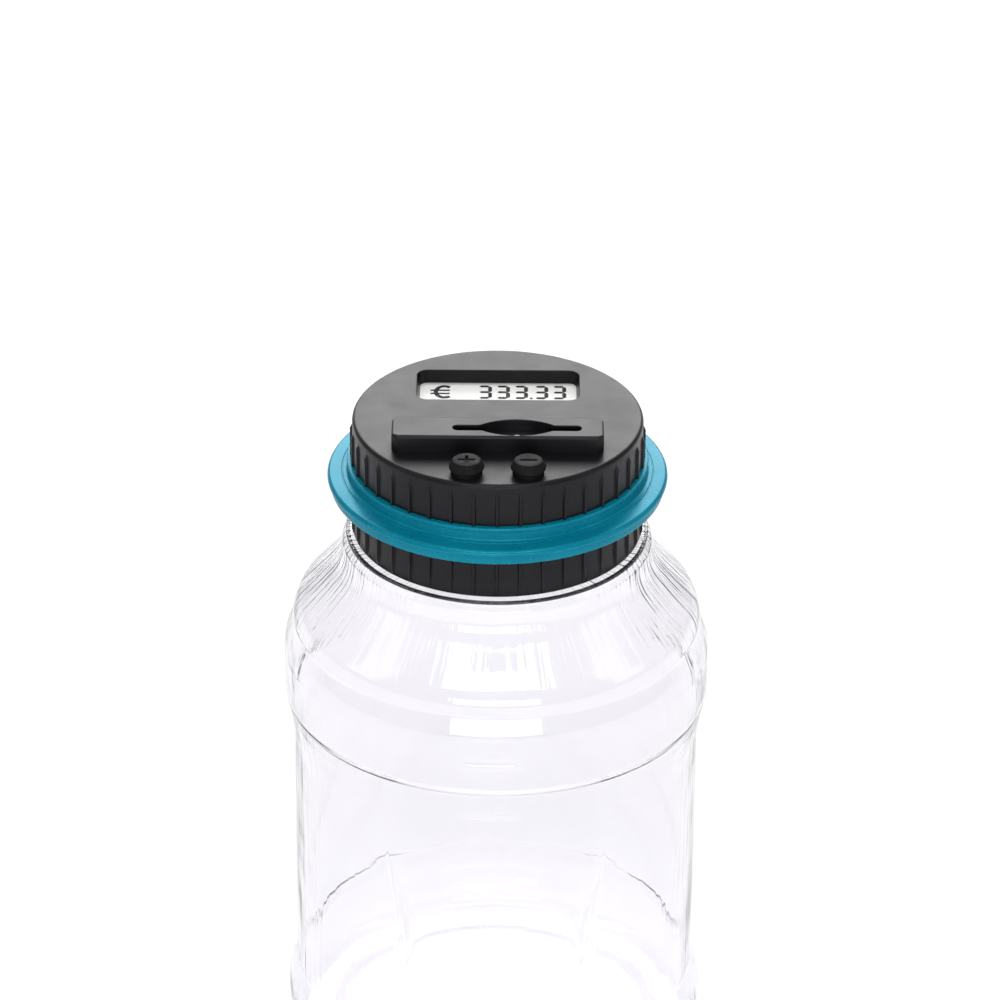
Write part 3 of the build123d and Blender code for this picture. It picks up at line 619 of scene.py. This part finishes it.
def make_lid_top():
    """The upper half of the lid: ribbed skirt, flat top, display pocket, slot bar and button holes."""
    outer = rounded_path([(LID_RADIUS, RING_TOP), (LID_RADIUS, LID_TOP), (0.0, LID_TOP)], [1.2], 9)
    path = [(37.0, COLLAR_TOP), (38.3, COLLAR_TOP), (38.3, RING_TOP)]
    path += refined(outer[:2], lambda z: 0.35 if z > 195 else 1.5) + outer[2:-1]
    path += [(0.02, LID_TOP), (0.02, 198.0), (38.4, 198.0), (38.4, 188.5), (37.0, 187.6)]
    lid = spun("lid_top", path, rib_angles(), rib_shift(RING_TOP, 196.2, False, True), closed=True)

    rim = loft("rim", [rounded_rectangle(50.0, 21.4, 2.0, 0, WINDOW_Y, z) for z in (196.4, 198.6)])
    combined(lid, "UNION", rim)
    top = BAR_TOP - 0.005
    edge = rounded_path([(0.0, LID_TOP - 0.5), (0.0, top), (-1.0, top)], [0.8], 15)
    levels = [rounded_rectangle(BAR_LENGTH + 2 * grow, BAR_WIDTH + 2 * grow, max(BAR_ROUND + grow, 0.5),
                                0, BAR_Y, z) for grow, z in edge[:-1]]
    combined(lid, "UNION", loft("bar", levels))
    hollow = loft("hollow", [rounded_rectangle(55.8, 6.1, 1.0, 0, -17.25, z) for z in (197.9, 203.8)])
    combined(lid, "DIFFERENCE", hollow)

    def window(grow, z):
        return rounded_rectangle(WINDOW_LENGTH + 2 * grow, WINDOW_WIDTH + 2 * grow, WINDOW_ROUND + grow,
                                 0, WINDOW_Y, z)
    combined(lid, "DIFFERENCE", loft("window", flared(window, LID_TOP, WINDOW_LOW, 0.25, WINDOW_SLOPE)))

    def slot(grow, z):
        return rounded_rectangle(SLOT_LENGTH + 2 * grow, SLOT_WIDTH + 2 * grow, SLOT_ROUND + grow,
                                 SLOT_X, SLOT_Y, z)
    combined(lid, "DIFFERENCE", loft("slot", flared(slot, BAR_TOP, BAR_TOP - 2.0, 0.25)))

    def scoop(grow, z):
        return lens_outline(SCOOP_HALF_LENGTH + grow, SCOOP_HALF_WIDTH + grow, SLOT_X, SCOOP_Y, z)
    dish = flared(scoop, BAR_TOP, BAR_TOP - 0.3, 0.25)[:-1]
    for i in range(1, 9):
        out, down = math.cos(math.pi / 2 * i / 8), math.sin(math.pi / 2 * i / 8)
        dish.append(lens_outline(8.6 + 3.15 * out, 1.9 + 2.7 * out, SLOT_X, SCOOP_Y - 0.2 * down,
                                 BAR_TOP - 0.25 - SCOOP_DEPTH * down))
    combined(lid, "DIFFERENCE", loft("scoop", dish))

    for x in (-BUTTON_X, BUTTON_X):
        def hole(grow, z):
            radius = BUTTON_HOLE_RADIUS + grow
            return [(x + radius * math.cos(a), BUTTON_Y + radius * math.sin(a), z) for a in even_angles(48)]
        combined(lid, "DIFFERENCE", loft("hole", flared(hole, LID_TOP, 197.0, 0.2)))
    resharpen(lid)
    for face in lid.data.polygons:
        if face.normal.z > 0.9999:
            face.use_smooth = False
    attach(lid, "lid")
    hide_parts("top_cover")
    painted(lid, "black_abs")


def make_collar():
    """The lower half of the lid: ribbed skirt with its inner thread and the web over it."""
    outer = rounded_path([(COLLAR_INSIDE, COLLAR_LOW), (LID_RADIUS, COLLAR_LOW), (LID_RADIUS, COLLAR_TOP),
                          (33.6, COLLAR_TOP)], [0.7, 0.15], 12)
    path = []
    for first, second in zip(outer, outer[1:]):
        path += refined([first, second], lambda z: 0.35 if z < 169.5 else 2.0)[:-1]
    path += [(33.6, COLLAR_TOP), (33.6, 176.8), (COLLAR_INSIDE, 176.8)]
    path += [(COLLAR_INSIDE, 176.8 - 0.35 * i) for i in range(1, 33)]
    outside = rib_shift(167.4, 178.6, True, False)

    def shift(angles, r, z):
        if abs(r - COLLAR_INSIDE) > 0.01 or z > 176.5 or z < 165.3:
            return outside(angles, r, z)
        return -thread_height(angles, z, THREAD_START - THREAD_LEAD / 2)
    collar = spun("lid_collar", path, rib_angles(), shift, closed=True)
    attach(collar, "lid")
    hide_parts("screw_collar")
    painted(collar, "black_abs")


def make_ring():
    """Teal grip ring: a lip under the lid, a dark waist with a fine groove, and a wide flange."""
    points = [(38.6, COLLAR_TOP), (46.5, COLLAR_TOP), (46.5, 181.5), (47.39, 181.9), (47.39, 183.3),
              (43.5, 183.65), (43.4, 183.45), (43.15, 183.45), (43.05, 183.68), (41.85, 183.75),
              (41.65, 186.4), (42.0, 186.4), (42.0, RING_TOP), (38.6, RING_TOP)]
    rounds = [0.7, 0.15, 0.4, 1.2, 0.05, 0.05, 0.05, 0.05, 0.5, 0.1, 0.25, 0.4]
    path = rounded_path(points, rounds, 9)
    ring = spun("grip_ring", path, even_angles(256), closed=True, smooth_angle=40)
    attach(ring, "lid_ring")
    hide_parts("trim_ring")
    painted(ring, "teal_lacquer")


def make_button(node, body, x, strokes):
    """Rubber button: a rounded cap with a recessed sign, on a stem with a conductive foot."""
    top = BUTTON_TOP
    cap = rounded_path([(0.02, top), (3.8, top), (4.45, top - 1.2), (4.85, top - 1.9), (4.83, top - 2.4),
                        (4.4, top - 2.95), (4.1, top - 3.05), (4.1, 196.8), (2.3, 195.2), (2.0, 192.2),
                        (0.02, 192.2)], [0.6, 1.5, 0.6, 0.5, 0.1, 0.05, 0.3, 0.3, 0.2], 12)
    button = spun(node + "_cap", cap, even_angles(64), closed=True, smooth_angle=40)
    for length, width in strokes:
        def sign(grow, z):
            return rounded_rectangle(length - 0.2 + 2 * grow, width - 0.2 + 2 * grow, 0.18 + grow, 0, 0, z)
        combined(button, "DIFFERENCE", loft("sign", flared(sign, top, top - 0.7, 0.1)))
    resharpen(button, 40)
    button.data.transform(Matrix.Translation((x * MM, BUTTON_Y * MM, 0)))
    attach(button, body)
    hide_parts(node)
    painted(button, "grey_rubber")


# ---- display figures ----
def strokes_mesh(name, outlines, low, high):
    """Flat shapes of small thickness, joined in one piece."""
    points, faces = [], []
    for outline in outlines:
        start, count = len(points), len(outline)
        points += [(x, y, low) for x, y in outline] + [(x, y, high) for x, y in outline]
        faces += [tuple(range(start, start + count)), tuple(range(start + count, start + 2 * count))]
        for j in range(count):
            k = (j + 1) % count
            faces.append((start + j, start + k, start + count + k, start + count + j))
    return mesh_object(name, points, faces, 30)


def digit_segments(x, y, width, height, thick, lit):
    """Seven-segment figure: each lit bar is a hexagon with mitred ends."""
    half_w, half_h, gap = width / 2 - thick / 2, height / 2 - thick / 2, 0.10
    t = thick / 2
    bars = {"a": (-half_w, half_h, half_w, half_h), "b": (half_w, 0, half_w, half_h),
            "c": (half_w, -half_h, half_w, 0), "d": (-half_w, -half_h, half_w, -half_h),
            "g": (-half_w, 0, half_w, 0)}
    shapes = []
    for key in lit:
        x0, y0, x1, y1 = bars[key]
        if y0 == y1:
            x0, x1 = x0 + gap, x1 - gap
            shape = [(x0, y0), (x0 + t, y0 + t), (x1 - t, y0 + t),
                     (x1, y0), (x1 - t, y0 - t), (x0 + t, y0 - t)]
        else:
            y0, y1 = y0 + gap, y1 - gap
            shape = [(x0, y0), (x0 + t, y0 + t), (x0 + t, y1 - t),
                     (x0, y1), (x0 - t, y1 - t), (x0 - t, y0 + t)]
        shapes.append([(x + px, y + py) for px, py in shape])
    return shapes


def euro_sign(x, y, radius_x, radius_y, thick):
    """An open round letter with two level bars across it."""
    arc = [math.radians(a) for a in range(52, 309, 8)]
    outer = [(x + radius_x * math.cos(a), y + radius_y * math.sin(a)) for a in arc]
    inner = [(x + (radius_x - thick) * math.cos(a), y + (radius_y - thick) * math.sin(a))
             for a in reversed(arc)]
    left, right, half, slant = x - radius_x - 1.0, x + radius_x * 0.45, 0.4, 0.25
    bars = [[(left, middle - half), (right, middle - half), (right + slant, middle + half),
             (left + slant, middle + half)] for middle in (y - 0.95, y + 0.95)]
    return [outer + inner] + bars


def make_amount():
    """The amount on the display: a currency sign and generic figures."""
    y, height, panel_top, ink = 22.6, 8.0, 195.51, 0.05
    shapes = euro_sign(-15.1, y, 3.0, height / 2, 1.25)
    for x in (-3.8, 1.25, 6.3, 12.0, 17.05):
        shapes += digit_segments(x, y, 4.2, height, 1.1, "abgcd")
    shapes.append([(9.0, 18.65), (9.7, 18.65), (9.7, 19.4), (9.0, 19.4)])
    amount = strokes_mesh("lcd_amount", shapes, panel_top, panel_top + ink)
    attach(amount, "lid")
    painted(amount, "lcd_glass", INK)


def dress_cad_nodes():
    """Gives each CAD node that stays in view the finish of its own slot."""
    slots = {part["node"]: part["material_slot"] for part in frame["record"]["subparts"]}
    for name, node in frame["nodes"].items():
        if not node.hide_render:
            node.data.materials.clear()
            node.data.materials.append(FINISHES[slots[name]])


# ---- studio ----
def make_floor():
    """A pale sheet just under the jar, 6 m across, as a grid of squares."""
    half, count = 3000.0, 24
    row = count + 1
    points = [((i / count - 0.5) * 2 * half, (j / count - 0.5) * 2 * half, -0.05)
              for j in range(row) for i in range(row)]
    faces = [(j * row + i, j * row + i + 1, (j + 1) * row + i + 1, (j + 1) * row + i)
             for j in range(count) for i in range(count)]
    floor = mesh_object("studio_floor", points, faces)
    floor.data.materials.append(studio_floor())


def softbox(name, location, target, size, power):
    """Rectangular lamp in metres and watts, turned towards its target."""
    lamp = bpy.data.lights.new(name, "AREA")
    lamp.shape, lamp.size, lamp.size_y, lamp.energy = "RECTANGLE", size[0], size[1], power
    holder = bpy.data.objects.new(name, lamp)
    holder.location = location
    holder.rotation_euler = (Vector(target) - Vector(location)).to_track_quat("-Z", "Y").to_euler()
    bpy.context.scene.collection.objects.link(holder)


def make_world():
    """Soft surround: dark in front and to the sides, bright behind."""
    side_falloff, front, behind, strength = -0.6, (0.20, 0.20, 0.21, 1), (0.95, 0.95, 0.95, 1), 0.62
    world = bpy.data.worlds.new("studio")
    world.use_nodes = True
    tree = world.node_tree

    def add(kind, operation=None):
        node = tree.nodes.new(kind)
        if operation:
            node.operation = operation
        return node
    place, parts = add("ShaderNodeTexCoord"), add("ShaderNodeSeparateXYZ")
    aside, lean = add("ShaderNodeMath", "ABSOLUTE"), add("ShaderNodeMath", "MULTIPLY_ADD")
    reach, ramp, back = add("ShaderNodeMapRange"), add("ShaderNodeValToRGB"), tree.nodes["Background"]
    for source, goal in ((place.outputs["Generated"], parts.inputs[0]),
                         (parts.outputs["X"], aside.inputs[0]),
                         (aside.outputs[0], lean.inputs[0]),
                         (parts.outputs["Y"], lean.inputs[2]),
                         (lean.outputs[0], reach.inputs["Value"]),
                         (reach.outputs["Result"], ramp.inputs["Fac"]),
                         (ramp.outputs["Color"], back.inputs["Color"])):
        tree.links.new(source, goal)
    lean.inputs[1].default_value = side_falloff
    reach.inputs["From Min"].default_value, reach.inputs["From Max"].default_value = -1.0, 1.0
    ramp.color_ramp.elements[0].color, ramp.color_ramp.elements[1].color = front, behind
    back.inputs["Strength"].default_value = strength
    bpy.context.scene.world = world


def make_lights():
    softbox("key_back", (0.0, 1.25, 0.95), (0, 0, 0.2), (1.3, 1.0), 18)
    for name, x in (("fill_left", -1.3), ("fill_right", 1.3)):
        softbox(name, (x, -0.3, 0.9), (0, 0, 0.15), (0.5, 1.2), 2)
    softbox("front_low", (0.0, -1.6, 0.5), (0, 0, 0.18), (1.4, 0.5), 9)
    softbox("front_top", (0.0, -0.75, 1.35), (0, 0, 0.15), (1.2, 0.4), 7)
    softbox("overhead", (0.0, 0.1, 1.7), (0, 0, 0), (1.2, 1.2), 2)


def make_camera():
    data = bpy.data.cameras.new("camera")
    data.sensor_width, data.lens = 36.0, 190.8
    data.clip_start, data.clip_end = 0.05, 50
    camera = bpy.data.objects.new("camera", data)
    elevation, distance, aim = math.radians(28.9), 1.481, Vector((0.00075, 0.0, 0.1734))
    roll = Matrix.Rotation(math.radians(0.4), 4, "Z")
    back = Vector((0, -math.cos(elevation), math.sin(elevation)))
    look = (-back).to_track_quat("-Z", "Y").to_matrix().to_4x4()
    camera.matrix_world = Matrix.Translation(aim + back * distance) @ look @ roll
    bpy.context.scene.collection.objects.link(camera)
    bpy.context.scene.camera = camera


make_jar()
make_lid_top()
make_collar()
make_ring()
make_button("plus_button", "plus", -BUTTON_X, [(4.9, 1.05), (1.05, 4.9)])
make_button("minus_button", "minus", BUTTON_X, [(4.9, 1.05)])
make_amount()
dress_cad_nodes()
make_floor()
make_world()
make_lights()
make_camera()
bpy.context.scene.view_settings.view_transform = "Standard"
